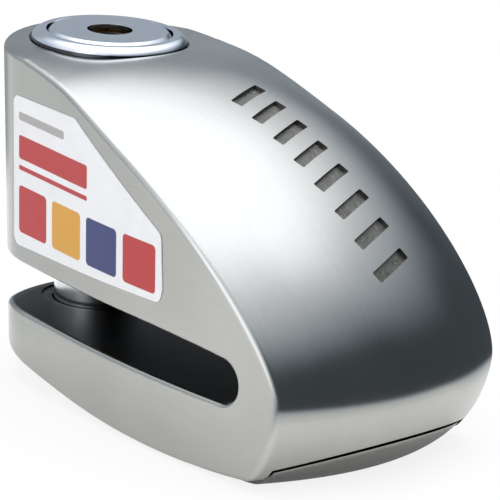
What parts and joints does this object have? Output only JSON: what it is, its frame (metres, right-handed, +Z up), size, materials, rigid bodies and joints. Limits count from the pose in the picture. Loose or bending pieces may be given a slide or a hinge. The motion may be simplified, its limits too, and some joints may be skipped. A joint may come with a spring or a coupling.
{
  "type": "disc brake lock",
  "caption": "Wedge-shaped steel disc brake lock with an open slot for the disc, a push-down key cylinder on a round locking pin, and an alarm module behind the base cover.",
  "frame": {"origin": "on the flat underside of the base cover, midway between the back and the nose, in the mid-plane", "axes": "+X from the locking pin towards the nose, +Y across the width, +Z up along the locking pin"},
  "size_m": [0.0883, 0.0528, 0.0583],
  "materials": {
    "stainless": "satin stainless steel",
    "chrome": "polished chrome plate",
    "hardened": "ground hardened steel",
    "brass": "plain brass",
    "rubber": "matt black rubber",
    "plastic": "matt black plastic",
    "board": "green coated board",
    "spring": "bright spring steel"
  },
  "bodies": {
    "body": {"body_shell": "stainless", "barrel_collar": "chrome", "collar_seal": "rubber", "pin_guide_bush": "hardened", "pin_socket_bush": "hardened", "return_spring": "spring", "bottom_cover": "stainless", "cover_gasket": "rubber", "cover_screw_1": "hardened", "cover_screw_2": "hardened", "cover_screw_3": "hardened", "alarm_tray": "plastic", "circuit_board": "board", "coin_cell": "chrome", "battery_clip": "spring", "piezo_sounder": "plastic", "control_chip": "plastic", "shock_sensor": "hardened", "hall_sensor": "plastic"},
    "cylinder": {"cylinder_case": "hardened", "cylinder_face": "chrome", "locking_pin": "chrome", "arming_magnet": "hardened", "pin_cross_dowel": "hardened"},
    "plug": {"key_plug": "brass", "side_bar": "hardened", "detainer_disc_1": "brass", "detainer_disc_2": "brass", "detainer_disc_3": "brass", "detainer_disc_4": "brass", "detainer_disc_5": "brass", "detainer_disc_6": "brass", "keyway_disc": "brass", "lock_cam": "hardened"},
    "latch": {"latch_bolt": "hardened"}
  },
  "joints": [
    {"name": "cylinder_slide", "type": "slide", "parent": "body", "child": "cylinder", "axis": [0, 0, 1], "range_m": [0, 0.0134], "deforming": ["return_spring"]},
    {"name": "key_turn", "type": "hinge", "parent": "cylinder", "child": "plug", "pos_m": [-0.02809, 0, 0.05], "axis": [0, 0, 1], "range_deg": [0, 90]},
    {"name": "latch_slide", "type": "slide", "parent": "cylinder", "child": "latch", "axis": [-1, 0, 0], "range_m": [0, 0.0022]}
  ],
  "couplings": [
    {"joint": "key_turn", "follows": "latch_slide", "rad_per_m": 714}
  ]
}
